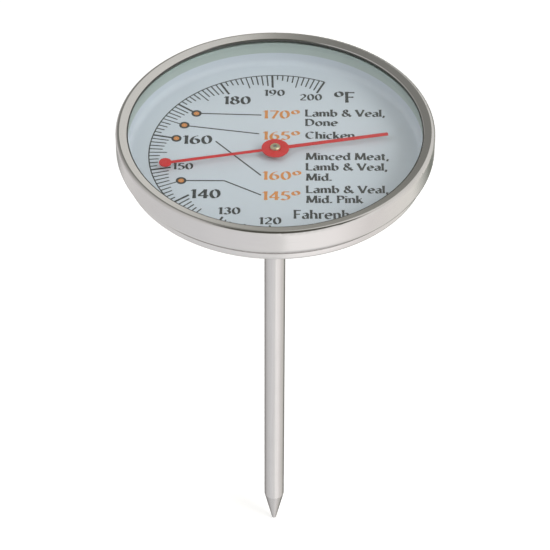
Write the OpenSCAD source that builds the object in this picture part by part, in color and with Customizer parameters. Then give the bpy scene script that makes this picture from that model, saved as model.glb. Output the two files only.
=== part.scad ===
// Large-dial bimetal meat thermometer with a leave-in stem.
// Origin: stem axis, on the underside of the case back. +Z points up to the dial,
// +Y is twelve o'clock on the dial, and the stem hangs below along -Z.

/* [Head] */
// Outer diameter of the bezel
head_d = 76.2; // [75.8:0.1:76.6]
// Height of the head, from the case back to the crest of the bezel
head_h = 10; // [9.9:0.1:11]
// Height of the bezel's rolled-in edge above the case back
edge_z = 2.45; // [2.35:0.05:2.6]
// Angle that the edge is rolled in from the vertical
roll_angle = 45; // [42:1:48]
// Outer radius of the bend above the rolled-in edge
roll_r = 2; // [1.5:0.1:2.5]
// Sheet thickness of the bezel
bezel_sheet = 0.5; // [0.4:0.05:0.6]
// Outer radius of the shoulder where the wall turns into the lip
shoulder_r = 0.9; // [0.7:0.1:1.2]
// Diameter of the opening in the bezel
opening_d = 70.7; // [69:0.1:71]
// Drop from the crest to the edge of the lip
lip_drop = 0.4; // [0.2:0.1:0.6]

/* [Case] */
// Outer diameter of the case pan below the bezel
pan_d = 73.2; // [73.2:0.1:73.6]
// Sheet thickness of the case pan
pan_sheet = 0.4; // [0.3:0.05:0.45]
// Outer radius of the pan's bottom corner
pan_corner_r = 1.4; // [1:0.05:1.8]
// Gap between the bezel's edge and the step in the pan below it
seam_gap = 0.15; // [0.1:0.05:0.2]
// Radius of the stiffening bead pressed into the case back
bead_r = 29; // [20:0.5:30.5]
// Width of the bead's crown
bead_w = 1.6; // [1:0.1:3]

/* [Lens and seals] */
// Thickness of the glass
lens_t = 1.6; // [1.4:0.1:1.9]
// Diameter of the glass
lens_d = 74.6; // [74:0.1:74.8]
// Thickness of the rubber gasket at the edge of the lip
gasket_t = 0.1; // [0.1:0.05:0.2]
// Width of the gasket's bead, which shows inside the lip
gasket_bead_w = 0.2; // [0.15:0.05:0.4]
// Wall thickness of the spacer band
spacer_t = 0.4; // [0.35:0.05:0.45]

/* [Dial] */
// Height of the printed dial face above the case back
dial_z = 1.2; // [1.1:0.05:1.5]
// Sheet thickness of the dial plate
dial_sheet = 0.35; // [0.3:0.05:0.35]
// Outer diameter of the dial plate's turned-up rim
dial_d = 71.8; // [71.4:0.1:71.8]
// Height of the rim's edge above the case back
dial_rim_z = 4.3; // [3.8:0.1:4.5]
// Outer radius of the bend at the foot of the rim
dial_bend_r = 1.7; // [1:0.1:1.8]
// Diameter of the hole that the spindle comes up through
dial_hole_d = 2.4; // [1.8:0.1:3]

/* [Scale and reading] */
// Temperature at the upper end of the scale, in Fahrenheit
scale_top = 200; // [200:1:220]
// Angle of that end, counter-clockwise from +X
scale_top_angle = 66.4; // [60:0.1:72]
// Turn of the pointer for one degree Fahrenheit
turn_per_degree = 2.5125; // [2.4:0.0005:2.6]
// Temperature that the pointer shows at rest
rest_reading = 150.1; // [120:0.1:200]

/* [Stem] */
// Outer diameter of the stem tube
stem_d = 5.2; // [5:0.1:5.6]
// Wall thickness of the stem tube
stem_wall = 0.35; // [0.3:0.05:0.4]
// Length of the stem below the case back, with its point
stem_len = 127; // [120:1:160]
// Length of the cone at the point
tip_len = 10; // [8:0.5:14]
// Diameter of the blunt end of the point
tip_end_d = 1.2; // [0.8:0.1:1.6]
// Diameter of the washer inside the case that the stem's end is swaged over
washer_d = 13; // [9:0.5:20]
// Diameter of the swaged end
swage_d = 5.8; // [5.6:0.1:6.2]
// Step in radius where the stem's neck goes through the case back
neck_step = 0.2; // [0.16:0.01:0.2]

/* [Pointer] */
// Height of the pointer's underside above the case back
pointer_z = 2.65; // [2.6:0.05:3.3]
// Sheet thickness of the pointer
pointer_sheet = 0.3; // [0.2:0.05:0.4]
// Width of the pointer's arm
arm_w = 0.85; // [0.7:0.05:1.2]
// Width of the tail at its free end
tail_w = 1.05; // [0.8:0.05:1.4]
// Distance from the axis to the middle of the spot at the pointer's tip
spot_r = 26.75; // [24:0.25:28]
// Diameter of that spot
spot_d = 3; // [2.4:0.1:3.6]
// Diameter of the disc round the hub
hub_disc_d = 6.6; // [5.6:0.1:8]
// Length of the tail, from the axis
tail_len = 27.75; // [20:0.25:29]

/* [Movement] */
// Diameter of the spindle
spindle_d = 1; // [0.8:0.1:1.2]
// Radial clearance of the spindle in its bearings
bearing_gap = 0.05; // [0.02:0.01:0.08]
// Length of each bearing bush
bearing_len = 3; // [2:0.5:5]
// Mean diameter of the bimetal coil
coil_d = 3.1; // [2.9:0.1:3.2]
// Thickness of the bimetal strip
strip_t = 0.2; // [0.15:0.05:0.25]
// Width of the bimetal strip
strip_w = 1.1; // [0.9:0.1:1.2]
// Pitch of the coil's turns
coil_pitch = 1.4; // [1.35:0.05:1.6]
// Number of turns in the coil
coil_turns = 24; // [12:1:24]

/* [Hidden] */
$fn = 96;

steel = "#c9c6c2";
bright_steel = "#dad8d5";
brass = "#b9a06a";

head_r = head_d / 2;
opening_r = opening_d / 2;
shoulder_x = head_r - shoulder_r;
shoulder_z = head_h - shoulder_r;
lip_top = head_h - lip_drop;
lip_bottom = lip_top - bezel_sheet;

pan_r = pan_d / 2;
step_z = edge_z - seam_gap;
rim_r = pan_r - 0.2;
flange_r = rim_r + 0.5;
flange_top = step_z + 2;
corner_x = pan_r - pan_corner_r;
bead_rise = dial_z - dial_sheet - pan_sheet;

lens_r = lens_d / 2;
lens_top = lip_bottom - gasket_t;
lens_z = lens_top - lens_t;
seat_inner_r = rim_r - 0.3;
lip_edge = 0.15;
gasket_inner_r = opening_r + lip_edge;
gasket_bead_r = opening_r - gasket_bead_w;
gasket_bead_top = lip_top - lip_edge + 0.05;

dial_r = dial_d / 2;
dial_floor = dial_z - dial_sheet;
dial_wall_r = dial_r - dial_sheet;

stem_r = stem_d / 2;
neck_r = stem_r - neck_step;
bore_r = stem_r - stem_wall;
tip_z = -stem_len;
cone_z = tip_z + tip_len;
tip_end_r = tip_end_d / 2;
plug_len = 4;
swage_r = swage_d / 2;

spindle_r = spindle_d / 2;
bearing_r = spindle_r + bearing_gap;
upper_bearing_z = -bearing_len - 0.4;
collar_d = 2.4;
collar_h = 1.2;
collar_play = 0.3;
middle_bearing_z = -38;
lower_bearing_z = -68;

anchor_z = cone_z + plug_len;
anchor_flange = 2;
stud_r = (coil_d - strip_t) / 2;
stud_len = 4;
coil_len = (coil_turns - 1) * coil_pitch + strip_w;
coil_z = anchor_z + anchor_flange + 0.1;
coil_top = coil_z + coil_len;
coil_steps = 16;
hub_flange = 0.8;
hub_grip = 3.6;
hub_z = coil_top - hub_grip;
hub_fit = 0.06;

rest_angle = scale_top_angle + (scale_top - rest_reading) * turn_per_degree;
pointer_top = pointer_z + pointer_sheet;
crease_rise = 0.12;
bush_r = 1.2;
bush_shoulder_r = 1.7;
bush_shoulder_t = 0.35;
bush_neck_r = 0.95;
bush_neck_z = dial_z + 0.6;
bush_top = pointer_z + 0.9;

// A quarter of a ring in the first quadrant of the section plane.
module quarter_ring(outer, inner) {
    difference() {
        intersection() {
            circle(r = outer);
            square(outer);
        }
        circle(r = inner);
    }
}

// A flat ring from z up, with a round bore.
module ring(outer, inner, z, height) {
    translate([0, 0, z])
        difference() {
            cylinder(r = outer, h = height);
            translate([0, 0, -1])
                cylinder(r = inner, h = height + 2);
        }
}

// What a rounded outer corner of the given radius takes off a square one.
module corner_cut(radius) {
    difference() {
        square(radius + 1);
        circle(r = radius);
    }
}

module bezel_section() {
    steps = 10;
    wall_r = head_r - bezel_sheet;
    edge_r = rim_r + 0.05;
    roll_x = head_r - roll_r;
    flat_run = head_r - edge_r - roll_r * (1 - cos(roll_angle));
    roll_z = edge_z + flat_run / tan(roll_angle) + roll_r * sin(roll_angle);
    inner_r = roll_r - bezel_sheet;
    difference() {
        // lip, crest and wall, with its edge rolled in under the pan's flange
        polygon(concat(
            [
                [opening_r + lip_edge, lip_bottom],
                [shoulder_x, head_h - bezel_sheet],
                [wall_r, head_h - bezel_sheet]
            ],
            [
                for (k = [0:steps])
                    let (angle = roll_angle * k / steps)
                    [roll_x + inner_r * cos(angle), roll_z - inner_r * sin(angle)]
            ],
            [
                [edge_r, edge_z + bezel_sheet / sin(roll_angle)],
                [edge_r, edge_z]
            ],
            [
                for (k = [steps:-1:0])
                    let (angle = roll_angle * k / steps)
                    [roll_x + roll_r * cos(angle), roll_z - roll_r * sin(angle)]
            ],
            [
                [head_r, head_h],
                [shoulder_x, head_h],
                [opening_r + lip_edge, lip_top],
                [opening_r, lip_top - lip_edge],
                [opening_r, lip_bottom + lip_edge]
            ]
        ));
        translate([shoulder_x, shoulder_z])
            corner_cut(shoulder_r);
    }
}

module bezel_ring() {
    color(steel)
        rotate_extrude()
            bezel_section();
}

// Pan with a step below the bezel's edge and a flange that the edge is rolled in under.
module pan_section() {
    bead_slope = 0.5;
    step_r = 0.2;
    inner = bead_r - bead_w / 2;
    outer = bead_r + bead_w / 2;
    // floor with a bead that stands up inside
    polygon([
        [neck_r, 0],
        [inner - bead_slope, 0],
        [inner, bead_rise],
        [outer, bead_rise],
        [outer + bead_slope, 0],
        [corner_x, 0],
        [corner_x, pan_sheet],
        [outer + bead_slope, pan_sheet],
        [outer, pan_sheet + bead_rise],
        [inner, pan_sheet + bead_rise],
        [inner - bead_slope, pan_sheet],
        [neck_r, pan_sheet]
    ]);
    // bottom corner
    translate([corner_x, pan_corner_r])
        mirror([0, 1])
            quarter_ring(pan_corner_r, pan_corner_r - pan_sheet);
    // wall up to the step
    difference() {
        union() {
            translate([pan_r - pan_sheet, pan_corner_r])
                square([pan_sheet, step_z - pan_corner_r]);
            translate([rim_r - pan_sheet, step_z - pan_sheet])
                square([pan_r - rim_r + pan_sheet, pan_sheet]);
        }
        translate([pan_r - step_r, step_z - step_r])
            corner_cut(step_r);
    }
    // rim and flange
    translate([rim_r - pan_sheet, step_z - pan_sheet])
        square([pan_sheet, flange_top - step_z + pan_sheet]);
    translate([rim_r - pan_sheet, flange_top - pan_sheet])
        square([flange_r - rim_r + pan_sheet, pan_sheet]);
}

module case_pan() {
    color(bright_steel)
        rotate_extrude()
            pan_section();
}

module lens() {
    edge = 0.25;
    color("#dfeae6", 0.35)
        rotate_extrude()
            polygon([
                [0, lens_z],
                [lens_r - edge, lens_z],
                [lens_r, lens_z + edge],
                [lens_r, lens_top - edge],
                [lens_r - edge, lens_top],
                [0, lens_top]
            ]);
}

// Height of the lip's underside at a radius
function lip_under(radius) = lip_bottom
    + lip_drop * (radius - gasket_inner_r) / (shoulder_x - gasket_inner_r);

module lens_gasket() {
    bead_edge = 0.08;
    color("#262626")
        rotate_extrude()
            polygon([
                [gasket_bead_r, lens_top],
                [shoulder_x, lens_top],
                [shoulder_x, lip_under(shoulder_x)],
                [gasket_inner_r, lip_bottom],
                [opening_r, lip_bottom + lip_edge],
                [opening_r, gasket_bead_top],
                [gasket_bead_r + bead_edge, gasket_bead_top],
                [gasket_bead_r, gasket_bead_top - bead_edge]
            ]);
}

module lens_seat_ring() {
    color("#8e918f")
        ring(lens_r, seat_inner_r, flange_top, lens_z - flange_top);
}

module spacer_ring() {
    color("#b4b8b4")
        ring(dial_wall_r + spacer_t, dial_wall_r, dial_rim_z, lens_z - dial_rim_z);
}

module dial_plate() {
    bend_x = dial_r - dial_bend_r;
    bend_z = dial_floor + dial_bend_r;
    color("#c3ccd6")
        rotate_extrude() {
            translate([dial_hole_d / 2, dial_floor])
                square([bend_x - dial_hole_d / 2, dial_sheet]);
            translate([bend_x, bend_z])
                mirror([0, 1])
                    quarter_ring(dial_bend_r, dial_bend_r - dial_sheet);
            translate([dial_wall_r, bend_z])
                square([dial_sheet, dial_rim_z - bend_z]);
        }
}

// Tube with a shoulder under the case back, a neck through it and a swaged end over the washer.
module stem_tube() {
    color(steel)
        rotate_extrude()
            polygon([
                [bore_r, cone_z],
                [stem_r, cone_z],
                [stem_r, 0],
                [neck_r, 0],
                [neck_r, pan_sheet],
                [swage_r, pan_sheet],
                [swage_r, dial_floor],
                [bore_r, dial_floor]
            ]);
}

// Solid point with a spigot that closes the lower end of the tube.
module stem_tip() {
    // the ball blends into the cone where both have the same slope
    slope = atan((stem_r - tip_end_r) / tip_len);
    ball_z = tip_z + tip_end_r;
    color(steel)
        rotate_extrude() {
            polygon([
                [0, ball_z],
                [tip_end_r * cos(slope), ball_z - tip_end_r * sin(slope)],
                [stem_r, cone_z],
                [bore_r, cone_z],
                [bore_r, anchor_z],
                [0, anchor_z]
            ]);
            translate([0, ball_z])
                intersection() {
                    circle(r = tip_end_r);
                    translate([0, -tip_end_r])
                        square([tip_end_r, tip_end_r]);
                }
        }
}

module stem_washer() {
    color(bright_steel)
        ring(washer_d / 2, swage_r, pan_sheet, dial_floor - pan_sheet);
}

module bearing(z) {
    color(brass)
        ring(bore_r, bearing_r, z, bearing_len);
}

module upper_bearing() {
    bearing(upper_bearing_z);
}

module middle_bearing() {
    bearing(middle_bearing_z);
}

module lower_bearing() {
    bearing(lower_bearing_z);
}

// Flanged stud that the lower end of the coil is welded to.
module coil_anchor() {
    color(brass) {
        translate([0, 0, anchor_z])
            cylinder(r = bore_r, h = anchor_flange);
        translate([0, 0, anchor_z])
            cylinder(r = stud_r, h = anchor_flange + stud_len);
    }
}

// One corner of the strip's section, at a step along the helix.
function strip_point(step, side, level) =
    let (angle = step * 360 / coil_steps)
    let (radius = (coil_d + side * strip_t) / 2)
    let (z = coil_z + step * coil_pitch / coil_steps + level * strip_w)
    [radius * cos(angle), radius * sin(angle), z];

module bimetal_coil() {
    last = round((coil_turns - 1) * coil_steps);
    corners = [[-1, 0], [1, 0], [1, 1], [-1, 1]];
    points = [for (step = [0:last]) for (c = corners) strip_point(step, c[0], c[1])];
    sides = [
        for (step = [0:last - 1])
            for (k = [0:3])
                let (here = 4 * step + k)
                let (next = 4 * step + (k + 1) % 4)
                each [[here, here + 4, next], [next, here + 4, next + 4]]
    ];
    ends = [[0, 1, 2], [0, 2, 3],
            [4 * last, 4 * last + 2, 4 * last + 1], [4 * last, 4 * last + 3, 4 * last + 2]];
    color("#a08f7c")
        polyhedron(points = points, faces = concat(sides, ends));
}

// Sleeve on the foot of the spindle that the upper end of the coil is welded to.
module coil_hub() {
    color(brass)
        difference() {
            union() {
                translate([0, 0, hub_z])
                    cylinder(r = stud_r - hub_fit, h = hub_grip + 0.1);
                translate([0, 0, coil_top + 0.1])
                    cylinder(r = stud_r + 0.25, h = hub_flange);
            }
            translate([0, 0, hub_z - 1])
                cylinder(r = spindle_r, h = hub_grip + hub_flange + 3);
        }
}

module spindle() {
    nose = 0.15;
    color("#b8b8b8") {
        translate([0, 0, hub_z])
            cylinder(r = spindle_r, h = bush_top - nose - hub_z);
        translate([0, 0, bush_top - nose])
            cylinder(r1 = spindle_r, r2 = spindle_r - nose, h = nose, $fn = 48);
    }
}

// Collar under the upper bearing, which keeps the spindle from lifting out.
module spindle_collar() {
    color("#b8b8b8")
        ring(collar_d / 2, spindle_r, upper_bearing_z - collar_play - collar_h, collar_h);
}

module pointer_bush() {
    rim = 0.2;
    color(brass)
        rotate_extrude()
            polygon([
                [spindle_r, bush_neck_z],
                [bush_neck_r, bush_neck_z],
                [bush_neck_r, pointer_z - bush_shoulder_t],
                [bush_shoulder_r, pointer_z - bush_shoulder_t],
                [bush_shoulder_r, pointer_z],
                [bush_r, pointer_z],
                [bush_r, bush_top - rim],
                [bush_r - rim, bush_top],
                [spindle_r, bush_top]
            ]);
}

// One arm of the pointer along +X: a strip with a crease along its middle.
module arm(start, stop, start_w, stop_w) {
    difference() {
        rotate([90, 0, 90])
            translate([0, 0, start])
                linear_extrude(height = stop - start)
                    polygon([
                        [-stop_w / 2, pointer_z],
                        [stop_w / 2, pointer_z],
                        [stop_w / 2, pointer_top - crease_rise],
                        [0, pointer_top],
                        [-stop_w / 2, pointer_top - crease_rise]
                    ]);
        for (side = [-1, 1])
            translate([0, 0, pointer_z - 1])
                linear_extrude(height = 3)
                    polygon([
                        [start - 1, side * start_w / 2],
                        [start, side * start_w / 2],
                        [stop, side * stop_w / 2],
                        [stop + 1, side * stop_w / 2],
                        [stop + 1, side * 3],
                        [start - 1, side * 3]
                    ]);
    }
}

module pointer() {
    neck_w = 1.1;
    color("#c8323c")
        rotate([0, 0, rest_angle])
            difference() {
                union() {
                    arm(0, spot_r, neck_w, arm_w);
                    rotate([0, 0, 180])
                        arm(0, tail_len, neck_w, tail_w);
                    translate([0, 0, pointer_z])
                        cylinder(d = hub_disc_d, h = pointer_sheet);
                    translate([spot_r, 0, pointer_z])
                        cylinder(d = spot_d, h = pointer_sheet);
                }
                translate([0, 0, pointer_z - 1])
                    cylinder(r = bush_r, h = 3);
            }
}

bezel_ring();
case_pan();
lens();
lens_gasket();
lens_seat_ring();
spacer_ring();
dial_plate();
stem_tube();
stem_tip();
stem_washer();
upper_bearing();
middle_bearing();
lower_bearing();
coil_anchor();
bimetal_coil();
coil_hub();
spindle();
spindle_collar();
pointer_bush();
pointer();
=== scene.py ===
import math

import bmesh
import bpy
from mathutils import Matrix, Vector
from mathutils.geometry import delaunay_2d_cdt


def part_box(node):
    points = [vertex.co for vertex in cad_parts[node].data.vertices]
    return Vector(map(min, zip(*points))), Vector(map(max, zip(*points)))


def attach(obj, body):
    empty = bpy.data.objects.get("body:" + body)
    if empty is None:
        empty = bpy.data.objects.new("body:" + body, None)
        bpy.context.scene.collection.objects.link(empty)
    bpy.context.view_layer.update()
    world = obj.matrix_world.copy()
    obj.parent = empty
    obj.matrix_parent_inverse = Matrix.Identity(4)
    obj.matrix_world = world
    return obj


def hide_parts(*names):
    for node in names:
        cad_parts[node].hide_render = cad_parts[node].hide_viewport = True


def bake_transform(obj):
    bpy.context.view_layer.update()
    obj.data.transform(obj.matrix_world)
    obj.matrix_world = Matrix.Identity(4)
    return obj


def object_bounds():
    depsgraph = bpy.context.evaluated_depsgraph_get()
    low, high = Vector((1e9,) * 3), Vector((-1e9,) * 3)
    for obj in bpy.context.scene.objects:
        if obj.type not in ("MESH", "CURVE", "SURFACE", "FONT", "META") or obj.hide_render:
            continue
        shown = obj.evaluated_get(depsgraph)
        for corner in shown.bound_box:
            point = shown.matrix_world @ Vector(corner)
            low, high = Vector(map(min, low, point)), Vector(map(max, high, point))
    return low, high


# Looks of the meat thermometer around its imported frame. Lengths are in metres, +Z is up to the
# dial and +Y is twelve o'clock. Dial print is laid out in millimetres on the dial face.

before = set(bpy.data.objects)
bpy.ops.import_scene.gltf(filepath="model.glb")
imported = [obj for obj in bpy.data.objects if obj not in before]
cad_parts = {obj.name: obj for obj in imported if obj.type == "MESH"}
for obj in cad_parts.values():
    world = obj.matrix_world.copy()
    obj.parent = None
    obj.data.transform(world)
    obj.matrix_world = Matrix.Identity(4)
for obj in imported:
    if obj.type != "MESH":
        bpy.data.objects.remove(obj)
cad_lo, cad_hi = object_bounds()
MM = 0.001


# ---------------------------------------------------------------- camera

CAMERA_DISTANCE = 0.64668
CAMERA_ELEVATION = 42.306
CAMERA_ROLL = 0.2
CAMERA_LENS = 168.97
CAMERA_TARGET = Vector((0.00004, 0, -0.03748))


def make_camera():
    """A long lens that looks down on the dial from the front."""
    elevation = math.radians(CAMERA_ELEVATION)
    back = Vector((0, -math.cos(elevation), math.sin(elevation)))
    level = (-back).to_track_quat("-Z", "Y").to_matrix()
    turned = level @ Matrix.Rotation(math.radians(CAMERA_ROLL), 3, "Z")
    camera = bpy.data.objects.new("camera", bpy.data.cameras.new("camera"))
    camera.data.sensor_width = 36
    camera.data.lens = CAMERA_LENS
    camera.data.clip_start = 0.01
    camera.data.clip_end = 50
    camera.matrix_world = Matrix.Translation(CAMERA_TARGET + back * CAMERA_DISTANCE) @ turned.to_4x4()
    bpy.context.scene.collection.objects.link(camera)
    bpy.context.scene.camera = camera


# ---------------------------------------------------------------- node trees

def add_node(tree, kind, inputs=None, **settings):
    """Adds a node, sets its properties, and fills its inputs with values or links."""
    made = tree.nodes.new(kind)
    for key, value in settings.items():
        setattr(made, key, value)
    for key, value in (inputs or {}).items():
        if isinstance(value, bpy.types.NodeSocket):
            tree.links.new(value, made.inputs[key])
        else:
            made.inputs[key].default_value = value
    return made


def math_node(tree, operation, *values):
    """The result socket of a Math node."""
    return add_node(tree, "ShaderNodeMath", dict(enumerate(values)), operation=operation).outputs[0]


def spread(tree, value, low, high, source=(0, 1), smooth=False):
    """value taken from the source range to low..high, and held inside it."""
    made = add_node(tree, "ShaderNodeMapRange", {
        "Value": value, "From Min": source[0], "From Max": source[1], "To Min": low, "To Max": high})
    if smooth:
        made.interpolation_type = "SMOOTHSTEP"
    return made.outputs["Result"]


def mix_colour(tree, factor, first, second):
    """A colour between first and second."""
    made = add_node(tree, "ShaderNodeMix", data_type="RGBA")
    for key, value in ((0, factor), (6, first), (7, second)):
        if isinstance(value, bpy.types.NodeSocket):
            tree.links.new(value, made.inputs[key])
        else:
            made.inputs[key].default_value = value
    return made.outputs[2]


def noise(tree, vector, scale, detail=2.0, rough=0.5):
    """The factor socket of a noise texture."""
    return add_node(tree, "ShaderNodeTexNoise", {
        "Vector": vector, "Scale": scale, "Detail": detail, "Roughness": rough}).outputs[0]


def rgb(red, green, blue):
    """A linear colour from 0-255 display values."""
    def linear(value):
        value /= 255
        return value / 12.92 if value <= 0.04045 else ((value + 0.055) / 1.055) ** 2.4
    return (linear(red), linear(green), linear(blue), 1)


def shade(colour, factor):
    """A colour made darker or lighter."""
    return tuple(channel * factor for channel in colour[:3]) + (1,)


def new_material(name):
    """An empty material with its tree, its output and the object's own coordinates."""
    material = bpy.data.materials.new(name)
    material.use_nodes = True
    tree = material.node_tree
    tree.nodes.clear()
    output = add_node(tree, "ShaderNodeOutputMaterial")
    place = add_node(tree, "ShaderNodeTexCoord").outputs["Object"]
    return material, tree, output, place


def round_grain(tree, place, along, across):
    """Coordinates for grain that runs round the Z axis, with no seam."""
    parts = add_node(tree, "ShaderNodeSeparateXYZ", {0: place})
    x, y, z = parts.outputs
    radius = math_node(tree, "SQRT", math_node(tree, "ADD",
                       math_node(tree, "MULTIPLY", x, x), math_node(tree, "MULTIPLY", y, y)))
    safe = math_node(tree, "MAXIMUM", radius, 1e-5)
    level = math_node(tree, "MULTIPLY", math_node(tree, "ADD", radius, z), across)
    turn_x = math_node(tree, "MULTIPLY", math_node(tree, "DIVIDE", x, safe), along)
    turn_y = math_node(tree, "MULTIPLY", math_node(tree, "DIVIDE", y, safe), along)
    return add_node(tree, "ShaderNodeCombineXYZ", {0: turn_x, 1: turn_y, 2: level}).outputs[0]


def long_grain(tree, place, along, across):
    """Coordinates for grain that runs along the Z axis."""
    return add_node(tree, "ShaderNodeMapping", {0: place, "Scale": (across, across, along)}).outputs[0]


# ---------------------------------------------------------------- materials

# Noise frequencies of the finishes, per metre, or per turn for grain that runs round.
ROUND_GRAIN = 5
LONG_GRAIN = 60
CLOUD_SCALE = 160
MARK_SCALE = 900
MARK_EDGE = (0.62, 0.78)
MARK_ROUGHNESS = 0.05
GRAIN_ROUGHNESS = 0.06
GRAIN_DEPTH = 2e-5
PEEL_DEPTH = 1e-5
PAINT_CLOUD_SCALE = 55


def metal(name, colour, roughness, grain="round", fine=9000, bump=0.06, anisotropic=0.0,
          metallic=1.0, edge=1.0):
    """Machined or rolled metal: fine grain in roughness, colour and bump, and faint handling marks."""
    material, tree, output, place = new_material(name)
    if grain == "round":
        lay = round_grain(tree, place, ROUND_GRAIN, fine)
    else:
        lay = long_grain(tree, place, LONG_GRAIN, fine)
    lines = noise(tree, lay, 1.0, 3, 0.6)
    cloud = noise(tree, place, CLOUD_SCALE, 3, 0.55)
    marks = spread(tree, noise(tree, place, MARK_SCALE, 4, 0.65), 0, 1, MARK_EDGE, True)
    grained = spread(tree, lines, roughness - GRAIN_ROUGHNESS, roughness + GRAIN_ROUGHNESS)
    rough = math_node(tree, "ADD", grained, spread(tree, marks, 0, MARK_ROUGHNESS))
    toned = mix_colour(tree, cloud, shade(colour, 0.96), shade(colour, 1.03))
    streaked = mix_colour(tree, spread(tree, lines, 0, 0.5, (0.35, 0.75)), toned, shade(colour, 0.9))
    relief = add_node(tree, "ShaderNodeBump", {"Height": lines, "Strength": bump, "Distance": GRAIN_DEPTH})
    shader = add_node(tree, "ShaderNodeBsdfPrincipled", {
        "Base Color": streaked, "Metallic": metallic, "Roughness": rough, "Normal": relief.outputs[0],
        "Anisotropic": anisotropic, "Specular Tint": (edge, edge, edge, 1)})
    if anisotropic:
        tangent = add_node(tree, "ShaderNodeTangent", direction_type="RADIAL", axis="Z")
        tree.links.new(tangent.outputs[0], shader.inputs["Tangent"])
    tree.links.new(shader.outputs[0], output.inputs["Surface"])
    return material


def paint(name, colour, roughness, mottle, grain_scale=2500, bump=0.05):
    """Painted or printed finish: faint mottling and a fine, shallow orange peel."""
    material, tree, output, place = new_material(name)
    cloud = noise(tree, place, PAINT_CLOUD_SCALE, 3, 0.5)
    peel = noise(tree, place, grain_scale, 2, 0.5)
    toned = mix_colour(tree, cloud, shade(colour, 1 - mottle), shade(colour, 1 + mottle))
    speckled = mix_colour(tree, spread(tree, peel, 0, 0.3, (0.4, 0.8)), toned, shade(colour, 0.93))
    relief = add_node(tree, "ShaderNodeBump", {"Height": peel, "Strength": bump, "Distance": PEEL_DEPTH})
    shader = add_node(tree, "ShaderNodeBsdfPrincipled", {
        "Base Color": speckled, "Roughness": spread(tree, peel, roughness - 0.05, roughness + 0.05),
        "Normal": relief.outputs[0]})
    tree.links.new(shader.outputs[0], output.inputs["Surface"])
    return material


def rubber(name, colour):
    """Matte moulded rubber with a fine grain."""
    return paint(name, colour, 0.75, mottle=0.1, grain_scale=4000, bump=0.25)


HAZE_SCALE = 35
HAZE_ROUGHNESS = 0.012
GLASS_TINT = (0.965, 0.985, 0.975, 1)
GLASS_SHADOW = (0.95, 0.97, 0.96, 1)


def glass():
    """Clear soda-lime glass that lets the lamps through to the dial."""
    material, tree, output, place = new_material("clear_glass")
    haze = spread(tree, noise(tree, place, HAZE_SCALE, 4, 0.6), 0.0, HAZE_ROUGHNESS)
    body = add_node(tree, "ShaderNodeBsdfPrincipled", {
        "Base Color": GLASS_TINT, "Roughness": haze, "IOR": 1.5, "Transmission Weight": 1.0})
    open_way = add_node(tree, "ShaderNodeBsdfTransparent", {"Color": GLASS_SHADOW})
    rays = add_node(tree, "ShaderNodeLightPath")
    mixed = add_node(tree, "ShaderNodeMixShader", {
        0: rays.outputs["Is Shadow Ray"], 1: body.outputs[0], 2: open_way.outputs[0]})
    tree.links.new(mixed.outputs[0], output.inputs["Surface"])
    return material


STEEL = rgb(207, 205, 204)
BRASS = rgb(196, 172, 112)

FINISHES = {
    "bezel_ring": metal("bezel_steel", STEEL, 0.15, bump=0.1, anisotropic=0.3),
    # The case pan's steel is the bezel steel painted 4% lighter: a painted highlight for the brighter
    # reflection along the pan's band.
    "case_pan": metal("case_steel", shade(STEEL, 1.04), 0.2, fine=5000, anisotropic=0.4),
    "lens": glass(),
    "lens_gasket": rubber("black_rubber", rgb(74, 76, 73)),
    "lens_seat_ring": rubber("grey_rubber", rgb(120, 124, 120)),
    "spacer_ring": metal("spacer_metal", rgb(187, 198, 193), 0.5, fine=5000, metallic=0.3),
    "dial_plate": paint("dial_face", rgb(207, 213, 223), 0.42, mottle=0.02),
    "stem_tube": metal("stem_steel", STEEL, 0.2, "long", fine=2600, edge=0.3),
    "stem_tip": metal("tip_steel", STEEL, 0.2, fine=7000, edge=0.3),
    "stem_washer": metal("washer_steel", shade(STEEL, 0.95), 0.3, fine=4000),
    "upper_bearing": metal("turned_brass", BRASS, 0.25, fine=7000),
    "coil_anchor": metal("stud_brass", BRASS, 0.3, fine=6000),
    "coil_hub": metal("hub_brass", BRASS, 0.28, fine=6000),
    "spindle": metal("ground_steel", rgb(150, 148, 146), 0.3, "long", fine=5000),
    "spindle_collar": metal("collar_steel", rgb(168, 167, 165), 0.3, fine=6000),
    "pointer_bush": metal("pale_brass", rgb(214, 203, 168), 0.38, fine=6000),
    "pointer": paint("red_enamel", rgb(206, 4, 16), 0.5, mottle=0.05),
}
FINISHES["middle_bearing"] = FINISHES["upper_bearing"]
FINISHES["lower_bearing"] = FINISHES["upper_bearing"]


def dress_nodes():
    """Gives every carried-over CAD node its finish."""
    for name, material in FINISHES.items():
        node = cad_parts[name]
        node.data.materials.clear()
        node.data.materials.append(material)


# ---------------------------------------------------------------- lettering

NIB = 0.185
NIB_BASE = 0.03
NIB_ANGLE = math.radians(28)
FLARE = 0.22
FLARE_SHARE = 0.3
ARC_STEP = 12
LETTER_GAP = 0.065
DEGREE = "\N{DEGREE SIGN}"


def bow(x, y, across, up, start, end):
    """Points along part of an ellipse, from one angle to another, in degrees."""
    steps = max(2, round(abs(end - start) / ARC_STEP))
    angles = [math.radians(start + (end - start) * k / steps) for k in range(steps + 1)]
    return [(x + across * math.cos(a), y + up * math.sin(a)) for a in angles]


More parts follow.
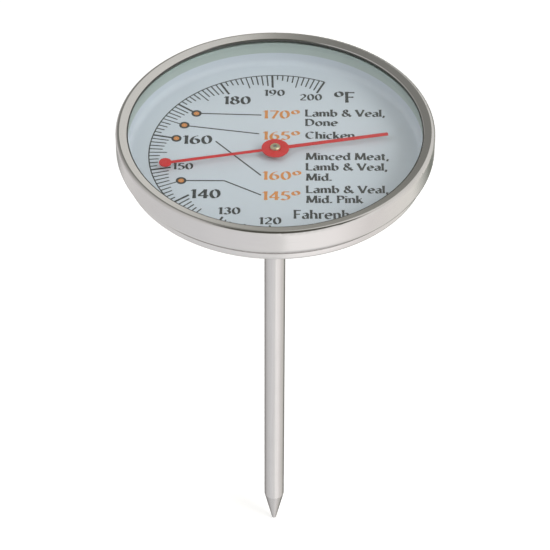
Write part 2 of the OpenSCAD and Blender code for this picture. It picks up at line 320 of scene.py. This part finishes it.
# Each glyph: its width, then its pen strokes, in cap heights above the baseline.
STEM = [(0.1, 1.02), (0.1, 0.01)]
SHORT_STEM = [(0.1, 0.66), (0.1, 0.01)]
GLYPHS = {
    "0": (0.6, [bow(0.3, 0.5, 0.22, 0.45, 0, 360)]),
    "1": (0.36, [[(0.24, 1), (0.24, 0)], [(0.05, 0.83), (0.22, 0.95)]]),
    "2": (0.58, [bow(0.28, 0.7, 0.2, 0.25, 160, -35) + [(0.08, 0.07)], [(0.06, 0.05), (0.55, 0.05)]]),
    "3": (0.54, [bow(0.25, 0.73, 0.18, 0.22, 150, -90), bow(0.25, 0.27, 0.21, 0.24, 90, -150)]),
    "4": (0.6, [[(0.42, 0.96), (0.05, 0.3)], [(0.03, 0.28), (0.6, 0.28)], [(0.42, 1), (0.42, 0)]]),
    "5": (0.54, [[(0.15, 0.95), (0.5, 0.95)], [(0.15, 0.95), (0.11, 0.55)],
                 bow(0.24, 0.3, 0.24, 0.28, 120, -140)]),
    "6": (0.6, [bow(0.3, 0.31, 0.21, 0.27, 0, 360), bow(0.49, 0.33, 0.4, 0.63, 92, 180)]),
    "7": (0.54, [[(0.04, 0.94), (0.52, 0.94)], [(0.51, 0.94), (0.2, 0)]]),
    "8": (0.58, [bow(0.29, 0.75, 0.16, 0.2, 0, 360), bow(0.29, 0.28, 0.21, 0.25, 0, 360)]),
    "9": (0.6, [bow(0.29, 0.69, 0.21, 0.27, 0, 360), bow(0.1, 0.67, 0.4, 0.63, -88, 0)]),
    "a": (0.5, [bow(0.22, 0.19, 0.15, 0.16, 60, 330), bow(0.24, 0.47, 0.17, 0.17, 150, 0),
                [(0.41, 0.48), (0.41, 0.01)], [(0.28, 0.38), (0.41, 0.36)]]),
    "b": (0.58, [STEM, bow(0.3, 0.33, 0.2, 0.3, -150, 150)]),
    "c": (0.5, [bow(0.3, 0.33, 0.22, 0.31, 48, 312)]),
    "d": (0.58, [bow(0.28, 0.33, 0.2, 0.3, 30, 330), [(0.48, 1.02), (0.48, 0.01)]]),
    "e": (0.56, [bow(0.3, 0.33, 0.22, 0.31, 8, 312), [(0.1, 0.37), (0.5, 0.37)]]),
    "h": (0.56, [STEM, bow(0.28, 0.42, 0.18, 0.22, 170, 0) + [(0.46, 0.01)]]),
    "i": (0.2, [SHORT_STEM, [(0.1, 0.93), (0.1, 0.83)]]),
    "k": (0.54, [STEM, [(0.45, 0.65), (0.12, 0.34)], [(0.2, 0.4), (0.5, 0.01)]]),
    "l": (0.2, [STEM]),
    "m": (0.86, [SHORT_STEM, bow(0.27, 0.43, 0.16, 0.21, 170, 0) + [(0.43, 0.01)],
                 bow(0.59, 0.43, 0.16, 0.21, 170, 0) + [(0.75, 0.01)]]),
    "n": (0.56, [SHORT_STEM, bow(0.28, 0.42, 0.18, 0.22, 170, 0) + [(0.46, 0.01)]]),
    "o": (0.6, [bow(0.3, 0.33, 0.22, 0.3, 0, 360)]),
    "r": (0.36, [SHORT_STEM, bow(0.29, 0.42, 0.18, 0.22, 170, 62)]),
    "t": (0.34, [[(0.15, 0.86), (0.15, 0.16)], bow(0.27, 0.16, 0.12, 0.12, 180, 285),
                 [(0.02, 0.64), (0.32, 0.64)]]),
    "C": (0.76, [bow(0.42, 0.5, 0.34, 0.46, 48, 312)]),
    "D": (0.76, [STEM, [(0.1, 0.95)] + bow(0.32, 0.5, 0.34, 0.45, 90, -90) + [(0.1, 0.05)]]),
    "F": (0.54, [STEM, [(0.1, 0.95), (0.52, 0.95)], [(0.1, 0.52), (0.46, 0.52)]]),
    "L": (0.54, [STEM, [(0.1, 0.05), (0.54, 0.05)]]),
    "M": (0.92, [[(0.1, 0), (0.16, 0.97)], [(0.16, 0.97), (0.46, 0.08)], [(0.46, 0.08), (0.76, 0.97)],
                 [(0.77, 1), (0.83, 0)]]),
    "P": (0.58, [STEM, [(0.1, 0.95)] + bow(0.28, 0.71, 0.24, 0.24, 90, -90) + [(0.1, 0.47)]]),
    "V": (0.7, [[(0.04, 1), (0.36, 0.02)], [(0.36, 0.02), (0.68, 1)]]),
    "&": (0.8, [bow(0.33, 0.77, 0.14, 0.19, -50, 230), [(0.22, 0.63), (0.76, 0.02)],
                bow(0.3, 0.28, 0.21, 0.24, 95, 300) + [(0.68, 0.42)]]),
    ",": (0.24, [[(0.14, 0.13), (0.06, -0.16)]]),
    ".": (0.22, [[(0.1, 0.15), (0.1, 0.0)]]),
    DEGREE: (0.52, [bow(0.27, 0.79, 0.18, 0.21, 0, 360)]),
    " ": (0.24, []),
}


def ribbon(points, base, nib, flare=FLARE):
    """Quads along a pen stroke whose width follows its direction, as from a broad nib."""
    closed = math.dist(points[0], points[-1]) < 1e-6
    sides = []
    last = len(points) - 1
    for k, (x, y) in enumerate(points):
        before = points[k - 1 if k or not closed else last - 1] if k or closed else points[0]
        after = points[k + 1 if k < last else 1] if k < last or closed else points[last]
        heading = math.atan2(after[1] - before[1], after[0] - before[0])
        half = (base + nib * abs(math.sin(heading - NIB_ANGLE))) / 2
        if not closed and k in (0, last):
            half *= 1 + flare
        off_x, off_y = -half * math.sin(heading), half * math.cos(heading)
        sides.append(((x + off_x, y + off_y), (x - off_x, y - off_y)))
    return [[right, next_right, next_left, left]
            for (left, right), (next_left, next_right) in zip(sides, sides[1:])]


def eased(points):
    """A straight stroke with extra points near its ends, so that it waists between flared ends."""
    if len(points) != 2:
        return points
    (x0, y0), (x1, y1) = points
    return [(x0 + (x1 - x0) * t, y0 + (y1 - y0) * t) for t in (0, FLARE_SHARE, 1 - FLARE_SHARE, 1)]


def text_width(text):
    """Length of a line of text, in cap heights."""
    return sum(GLYPHS[letter][0] + LETTER_GAP for letter in text) - LETTER_GAP


def lettering(text, x, y, height, weight=1.0, stretch=1.0, centred=False):
    """Quads of a line of text on the dial. x, y is its start on the baseline, or its centre."""
    if centred:
        x -= text_width(text) * height * stretch / 2
        y -= height / 2
    quads = []
    pen = x
    for letter in text:
        width, strokes = GLYPHS[letter]
        for stroke in strokes:
            for quad in ribbon(eased(stroke), NIB_BASE * weight, NIB * weight):
                quads.append([(pen + px * height * stretch, y + py * height) for px, py in quad])
        pen += (width + LETTER_GAP) * height * stretch
    return quads


# ---------------------------------------------------------------- print on the dial

INK_HEIGHT = 0.02 * MM
INK_SUNK = 0.004 * MM
FACE_SEARCH_R = 20 * MM


def face_height(node, radius):
    """Height of a node's highest point within a radius of the Z axis."""
    return max(v.co.z for v in node.data.vertices if math.hypot(v.co.x, v.co.y) < radius)


def merged_triangles(quads):
    """Points and triangles of the union of overlapping quads."""
    points, faces, seen = [], [], {}
    for quad in quads:
        area = sum(a[0] * b[1] - b[0] * a[1] for a, b in zip(quad, quad[1:] + quad[:1]))
        ring = quad if area > 0 else quad[::-1]
        face = []
        for x, y in ring:
            key = (round(x, 5), round(y, 5))
            if key not in seen:
                seen[key] = len(points)
                points.append(Vector(key))
            if seen[key] not in face:
                face.append(seen[key])
        if len(face) > 2:
            faces.append(face)
    made = delaunay_2d_cdt(points, [], faces, 0, 1e-5, True)
    return made[0], [face for face, owners in zip(made[2], made[5]) if owners]


def drop_points(mesh, indices):
    """Removes points that no face uses."""
    work = bmesh.new()
    work.from_mesh(mesh)
    work.verts.ensure_lookup_table()
    bmesh.ops.delete(work, geom=[work.verts[k] for k in indices], context="VERTS")
    work.to_mesh(mesh)
    work.free()


def ink(name, quads, material):
    """A closed, very thin solid of printed ink on the dial face."""
    points, faces = merged_triangles(quads)
    low = face_height(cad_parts["dial_plate"], FACE_SEARCH_R) - INK_SUNK
    high = low + INK_SUNK + INK_HEIGHT
    count = len(points)
    vertices = [(p[0] * MM, p[1] * MM, z) for z in (high, low) for p in points]
    edges = {(a, b) for face in faces for a, b in zip(face, face[1:] + face[:1])}
    walls = [(b, a, a + count, b + count) for a, b in edges if (b, a) not in edges]
    floors = [tuple(k + count for k in reversed(face)) for face in faces]
    mesh = bpy.data.meshes.new(name)
    mesh.from_pydata(vertices, [], [tuple(face) for face in faces] + floors + walls)
    used = {k for face in faces for k in face}
    spare = [k for k in range(count) if k not in used]
    piece = bpy.data.objects.new(name, mesh)
    bpy.context.scene.collection.objects.link(piece)
    drop_points(mesh, spare + [k + count for k in spare])
    mesh.materials.append(material)
    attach(piece, "housing")


SCALE_TOP = 200
SCALE_FOOT = 120
SCALE_TOP_ANGLE = 66.4
TURN_PER_DEGREE = 2.5125
SCALE_R = 30.35
SCALE_LINE = 0.3
SCALE_STEP = 1.5
TEN_TICK = (4.85, 0.52)
FIVE_TICK = (4.35, 0.3)
ONE_TICK_SHORTEST = 1.75
ONE_TICK_GROWTH = 0.3
ONE_TICK_WIDTH = 0.33
SHORT_BELOW = 136
SHORT_SHARE = 0.84
DOT_R = 24.55
DOT_OUTER = 1.26
DOT_INNER = 0.7
COOKING_MARKS = (170, 165, 160, 145)
LEADER_WIDTH = 0.36


def scale_angle(temperature):
    """Angle of a temperature on the scale, counter-clockwise from +X, in degrees."""
    return SCALE_TOP_ANGLE + (SCALE_TOP - temperature) * TURN_PER_DEGREE


def on_dial(radius, angle):
    """A point on the dial from its radius and its angle in degrees."""
    return (radius * math.cos(math.radians(angle)), radius * math.sin(math.radians(angle)))


def bar(start, end, width):
    """One quad: a straight line of a given width."""
    return ribbon([start, end], width, 0, 0)


def ring_quads(centre, inner, outer, start=0, end=360, step=10):
    """Quads of a ring, or of part of one."""
    count = round((end - start) / step)
    angles = [start + (end - start) * k / count for k in range(count + 1)]
    rims = [[(centre[0] + px, centre[1] + py) for px, py in (on_dial(inner, a), on_dial(outer, a))]
            for a in angles]
    return [[a[0], a[1], b[1], b[0]] for a, b in zip(rims, rims[1:])]


def tick(temperature):
    """The mark for one degree: tens are bold, and the ones between grow towards the next ten."""
    ones = temperature % 10
    if ones == 0:
        length, width = TEN_TICK
    elif ones == 5:
        length, width = FIVE_TICK
    else:
        length, width = ONE_TICK_SHORTEST + ONE_TICK_GROWTH * (ones - 1), ONE_TICK_WIDTH
    if temperature < SHORT_BELOW:
        length *= SHORT_SHARE
    if temperature in COOKING_MARKS:
        length = SCALE_R - DOT_R - DOT_OUTER / 2
    angle = scale_angle(temperature)
    return bar(on_dial(SCALE_R, angle), on_dial(SCALE_R - length, angle), width)


def path(points, width):
    """Quads of a line of one width through several points."""
    quads = []
    for start, end in zip(points, points[1:]):
        quads += bar(start, end, width)
    return quads


# Leader lines from the dots to their temperatures, in the order of their numbers.
LEADERS = (
    [(-18.1, 15.2), (-3.4, 14.65)],
    [(-20.9, 10.3), (-3.9, 7.4)],
    [(-14.4, 4.5), (-3.4, -8.2)],
    [(-21.6, -10.2), (-12.1, -10.2), (-3.3, -15.4)],
)
# Numbers round the scale: value, centre, cap height, weight and stretch.
SCALE_NUMBERS = (
    (200, (8.7, 21.7), 2.45, 0.95, 1.17),
    (190, (-0.3, 23.4), 2.4, 0.95, 1.27),
    (180, (-9.5, 20.4), 3.1, 0.95, 1.3),
    (160, (-18.9, 5.1), 3.2, 0.95, 1.33),
    (150, (-22.1, -4.9), 2.35, 0.95, 1.3),
    (140, (-16.5, -15.0), 3.2, 0.95, 1.33),
    (130, (-10.8, -21.1), 2.45, 0.98, 1.33),
    (120, (-1.2, -24.6), 2.45, 0.98, 1.3),
)
# Cooking temperatures: value and height of the middle of the figures.
COOKING_NUMBERS = ((170, 14.9), (165, 6.75), (160, -8.25), (145, -15.6))
COOKING_LEFT = -3.2
COOKING_HEIGHT = 3.1
COOKING_WEIGHT = 0.9
COOKING_STRETCH = 1.33
# Generic foods and grades: baseline and words.
FOODS = (
    (14.15, "Lamb & Veal,"),
    (10.5, "Done"),
    (5.6, "Chicken"),
    (-2.4, "Minced Meat,"),
    (-6.3, "Lamb & Veal,"),
    (-10.1, "Mid."),
    (-14.6, "Lamb & Veal,"),
    (-18.2, "Mid. Pink"),
)
FOOD_LEFT = 7.3
FOOD_HEIGHT = 2.66
FOOD_STRETCH = 1.1
# Words placed by their middle: text, centre, cap height, weight and stretch.
LABELS = (
    (f"{DEGREE}F", (17.0, 21.7), 4.2, 0.85, 1.1),
    ("Fahrenheit", (13.0, -22.3), 3.1, 0.9, 1.05),
)


def print_dial():
    """Everything printed on the dial, in two inks."""
    black = paint("ink_black", rgb(30, 33, 38), 0.5, mottle=0.12)
    orange = paint("ink_orange", rgb(216, 138, 66), 0.5, mottle=0.08)
    scale = ring_quads((0, 0), SCALE_R - SCALE_LINE / 2, SCALE_R + SCALE_LINE / 2,
                       scale_angle(SCALE_TOP), scale_angle(SCALE_FOOT), SCALE_STEP)
    for temperature in range(SCALE_FOOT, SCALE_TOP + 1):
        scale += tick(temperature)
    ink("scale_print", scale, black)
    leaders, centres = [], []
    for points in LEADERS:
        leaders += path(points, LEADER_WIDTH)
    for temperature in COOKING_MARKS:
        centre = on_dial(DOT_R, scale_angle(temperature))
        leaders += ring_quads(centre, DOT_INNER, DOT_OUTER)
        centres += ring_quads(centre, DOT_INNER / 8, DOT_INNER)
    ink("leader_print", leaders, black)
    ink("dot_print", centres, orange)
    numbers = []
    for value, (x, y), height, weight, stretch in SCALE_NUMBERS:
        numbers += lettering(str(value), x, y, height, weight, stretch, True)
    ink("number_print", numbers, black)
    cooking = []
    for value, middle in COOKING_NUMBERS:
        baseline = middle - COOKING_HEIGHT / 2
        cooking += lettering(f"{value}{DEGREE}", COOKING_LEFT, baseline, COOKING_HEIGHT,
                             COOKING_WEIGHT, COOKING_STRETCH)
    ink("cooking_number_print", cooking, orange)
    words = []
    for baseline, text in FOODS:
        words += lettering(text, FOOD_LEFT, baseline, FOOD_HEIGHT, 1.0, FOOD_STRETCH)
    for text, (x, y), height, weight, stretch in LABELS:
        words += lettering(text, x, y, height, weight, stretch, True)
    ink("word_print", words, black)


# ---------------------------------------------------------------- bimetal coil

COIL_TURNS = 23
COIL_STEPS = 40
STRIP_THICKNESS = 0.2 * MM
STRIP_CORNER = 0.05 * MM
STRIP_SHARE = 0.86


def make_coil():
    """The wound strip in the stem, built at rest; the real strip twists as the spindle turns."""
    low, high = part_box("bimetal_coil")
    outer = high.x
    strip_width = (high.z - low.z) / (COIL_TURNS + 1) * STRIP_SHARE
    rise = high.z - low.z - strip_width
    middle = outer - STRIP_THICKNESS / 2
    half, edge = STRIP_THICKNESS / 2, STRIP_CORNER
    section = [
        (-half, edge), (-half + edge, 0), (half - edge, 0), (half, edge),
        (half, strip_width - edge), (half - edge, strip_width),
        (-half + edge, strip_width), (-half, strip_width - edge),
    ]
    vertices = []
    last = COIL_TURNS * COIL_STEPS
    for step in range(last + 1):
        turn = math.tau * step / COIL_STEPS
        for out, up in section:
            radius = middle + out
            z = low.z + rise * step / last + up
            vertices.append((radius * math.cos(turn), radius * math.sin(turn), z))
    size = len(section)
    faces = [tuple(reversed(range(size))), tuple(last * size + k for k in range(size))]
    for step in range(last):
        for k in range(size):
            here, beside = step * size + k, step * size + (k + 1) % size
            faces.append((here, beside, beside + size, here + size))
    mesh = bpy.data.meshes.new("coil_strip")
    mesh.from_pydata(vertices, [], faces)
    mesh.materials.append(metal("bimetal", rgb(176, 160, 142), 0.35, fine=4000))
    coil = bpy.data.objects.new("coil_strip", mesh)
    bpy.context.scene.collection.objects.link(coil)
    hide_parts("bimetal_coil")
    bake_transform(coil)


# ---------------------------------------------------------------- studio

FLOOR_SIZE = 12
FLOOR_TONES = ((0.9, 0.9, 0.9, 1), (0.93, 0.93, 0.93, 1))
FLOOR_GLOW = 0.35
# Light round the studio: azimuth, 0 towards the front and positive to the right, then its colour.
LOW_LIGHT = (
    (-180, (0.38, 0.38, 0.36)),
    (-158, (0.42, 0.42, 0.41)),
    (-140, (0.84, 0.82, 0.81)),
    (-100, (0.86, 0.85, 0.85)),
    (-60, (0.90, 0.90, 0.91)),
    (-20, (0.98, 0.97, 0.98)),
    (6, (1.02, 1.01, 1.00)),
    (9, (1.30, 1.28, 1.27)),
    (44, (1.28, 1.24, 1.23)),
    (72, (1.03, 0.99, 0.97)),
    (118, (1.04, 1.02, 0.96)),
    (136, (0.56, 0.57, 0.53)),
    (150, (0.22, 0.23, 0.20)),
    (180, (0.38, 0.38, 0.36)),
)
HIGH_LIGHT = (
    (-180, (0.42, 0.42, 0.38)),
    (-168, (0.28, 0.28, 0.26)),
    (-145, (0.30, 0.30, 0.28)),
    (-100, (0.70, 0.69, 0.67)),
    (-30, (0.92, 0.91, 0.90)),
    (50, (1.15, 1.13, 1.11)),
    (110, (0.95, 0.94, 0.90)),
    (150, (0.92, 0.91, 0.88)),
    (173, (0.86, 0.86, 0.81)),
    (180, (0.42, 0.42, 0.38)),
)
# Dark patch overhead, tilted to the front: its direction, then the cosines where it ends and starts.
PATCH_AXIS = (0.1, -0.34, 0.935)
PATCH_EDGE = (0.79, 0.9)
PATCH_LIGHT = (0.1, 0.1, 0.08)
# Light straight below, and the heights between which it comes in.
NADIR_LIGHT = (0.88, 0.88, 0.87)
NADIR_EDGE = (-0.975, -0.915)
# Heights between which the low light turns into the high light.
HORIZON = (-0.15, 0.3)
# Colour ramps hold values up to 1, so they are stored divided by this.
RAMP_TOP = 2.0
# Lamps: name, place, size, power and colour.
LAMPS = (
    ("key_lamp", (0.6, -0.4, 0.62), 0.5, 2.8, (1, 1, 1)),
    ("fill_lamp", (-0.4, -0.1, 0.9), 0.6, 1.15, (0.97, 0.98, 1)),
)


def ring_light(tree, azimuth, stops):
    """A colour that follows the azimuth through a list of stops."""
    ramp = add_node(tree, "ShaderNodeValToRGB", {0: spread(tree, azimuth, 0, 1, (-180, 180))})
    elements = ramp.color_ramp.elements
    while len(elements) < len(stops):
        elements.new(0.5)
    for element, (angle, colour) in zip(elements, stops):
        element.position = (angle + 180) / 360
        element.color = tuple(channel / RAMP_TOP for channel in colour) + (1,)
    return ramp.outputs["Color"]


def make_world():
    """Soft studio light all round: bright low panels, a dimmer sky and a sharp edge at the front."""
    world = bpy.data.worlds.new("studio")
    world.use_nodes = True
    tree = world.node_tree
    tree.nodes.clear()
    direction = add_node(tree, "ShaderNodeTexCoord").outputs["Generated"]
    x, y, z = add_node(tree, "ShaderNodeSeparateXYZ", {0: direction}).outputs
    turn = math_node(tree, "ARCTAN2", x, math_node(tree, "MULTIPLY", y, -1.0))
    azimuth = math_node(tree, "MULTIPLY", turn, 180 / math.pi)
    low = ring_light(tree, azimuth, LOW_LIGHT)
    high = ring_light(tree, azimuth, HIGH_LIGHT)
    around = mix_colour(tree, spread(tree, z, 0, 1, HORIZON, True), low, high)
    above = add_node(tree, "ShaderNodeVectorMath", {0: direction, 1: PATCH_AXIS},
                     operation="DOT_PRODUCT").outputs["Value"]
    patched = mix_colour(tree, spread(tree, above, 0, 1, PATCH_EDGE, True), around,
                         shade(PATCH_LIGHT, 1 / RAMP_TOP))
    sky = mix_colour(tree, spread(tree, z, 1, 0, NADIR_EDGE, True), patched,
                     shade(NADIR_LIGHT, 1 / RAMP_TOP))
    background = add_node(tree, "ShaderNodeBackground", {"Color": sky, "Strength": RAMP_TOP})
    output = add_node(tree, "ShaderNodeOutputWorld")
    tree.links.new(background.outputs[0], output.inputs[0])
    bpy.context.scene.world = world


def make_lamp(name, location, size, power, colour):
    """A soft lamp aimed at the head, without a hard glare of its own."""
    light = bpy.data.lights.new(name, "AREA")
    light.shape = "DISK"
    light.size = size
    light.energy = power
    light.color = colour
    lamp = bpy.data.objects.new(name, light)
    lamp.location = location
    lamp.rotation_mode = "QUATERNION"
    lamp.rotation_quaternion = (-Vector(location)).to_track_quat("-Z", "Y")
    lamp.visible_glossy = False
    bpy.context.scene.collection.objects.link(lamp)


def make_floor():
    """A plain pale floor under the point of the stem."""
    half = FLOOR_SIZE / 2
    z = cad_lo.z
    mesh = bpy.data.meshes.new("floor")
    mesh.from_pydata([(-half, -half, z), (half, -half, z), (half, half, z), (-half, half, z)], [],
                     [(0, 1, 2, 3)])
    material, tree, output, place = new_material("floor")
    tone = mix_colour(tree, noise(tree, place, 3, 3, 0.5), *FLOOR_TONES)
    shader = add_node(tree, "ShaderNodeBsdfPrincipled", {
        "Base Color": tone, "Roughness": 0.9, "Emission Color": (1, 1, 1, 1),
        "Emission Strength": FLOOR_GLOW})
    tree.links.new(shader.outputs[0], output.inputs["Surface"])
    mesh.materials.append(material)
    floor = bpy.data.objects.new("floor", mesh)
    floor.visible_glossy = False
    floor.visible_shadow = False
    bpy.context.scene.collection.objects.link(floor)


def make_studio():
    """World, lamps, floor and a plain display transform."""
    make_world()
    for lamp in LAMPS:
        make_lamp(*lamp)
    make_floor()
    bpy.context.scene.view_settings.view_transform = "Standard"


# ---------------------------------------------------------------- build

make_camera()
dress_nodes()
print_dial()
make_coil()
make_studio()
